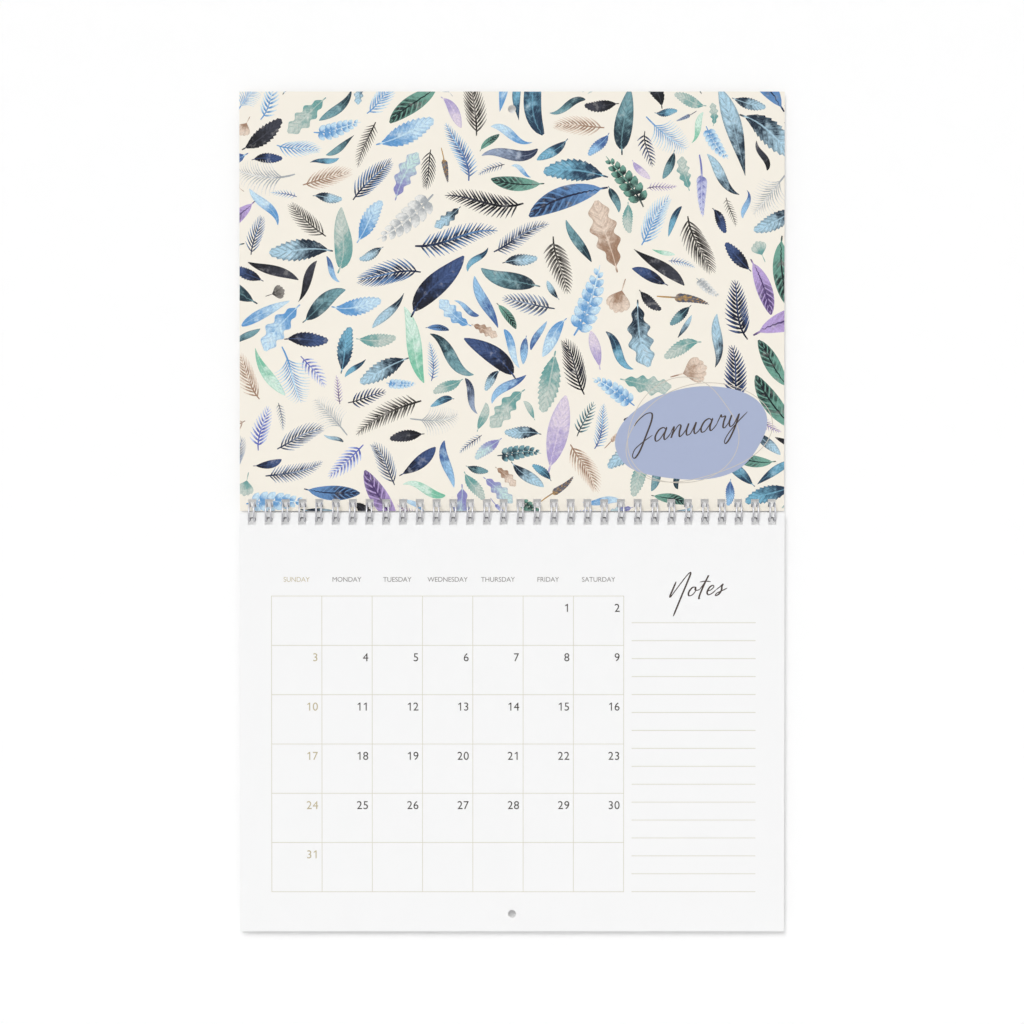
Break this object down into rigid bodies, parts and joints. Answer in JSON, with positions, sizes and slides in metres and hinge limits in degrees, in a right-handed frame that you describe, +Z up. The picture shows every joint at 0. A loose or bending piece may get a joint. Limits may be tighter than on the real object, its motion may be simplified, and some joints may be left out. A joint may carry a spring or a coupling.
{
  "type": "wall calendar",
  "caption": "Wire-bound wall calendar hung open: a punched cover leaf turned up on its hang hole, and month leaves hanging below it on a twin-loop wire.",
  "frame": {"origin": "centre of the cover leaf's hang hole, in the middle plane of the leaf", "axes": "+X to the reader's right, +Z up the wall, -Y towards the reader"},
  "size_m": [0.275, 0.0099, 0.424],
  "materials": {
    "cover_leaf": "matt coated card, printed",
    "twin_loop_wire": "bright tinned steel wire",
    "month_leaves": "uncoated white paper, printed"
  },
  "bodies": {
    "cover": {"cover_leaf": "cover_leaf"},
    "wire": {"twin_loop_wire": "twin_loop_wire"},
    "months": {"month_leaves": "month_leaves"}
  },
  "joints": [
    {"name": "wire_turn", "type": "hinge", "parent": "cover", "child": "wire", "pos_m": [0, -0.00158, -0.2032], "axis": [-1, 0, 0], "range_deg": [0, 180]},
    {"name": "leaves_turn", "type": "hinge", "parent": "wire", "child": "months", "pos_m": [0, -0.00158, -0.2032], "axis": [-1, 0, 0], "range_deg": [0, 180]}
  ]
}
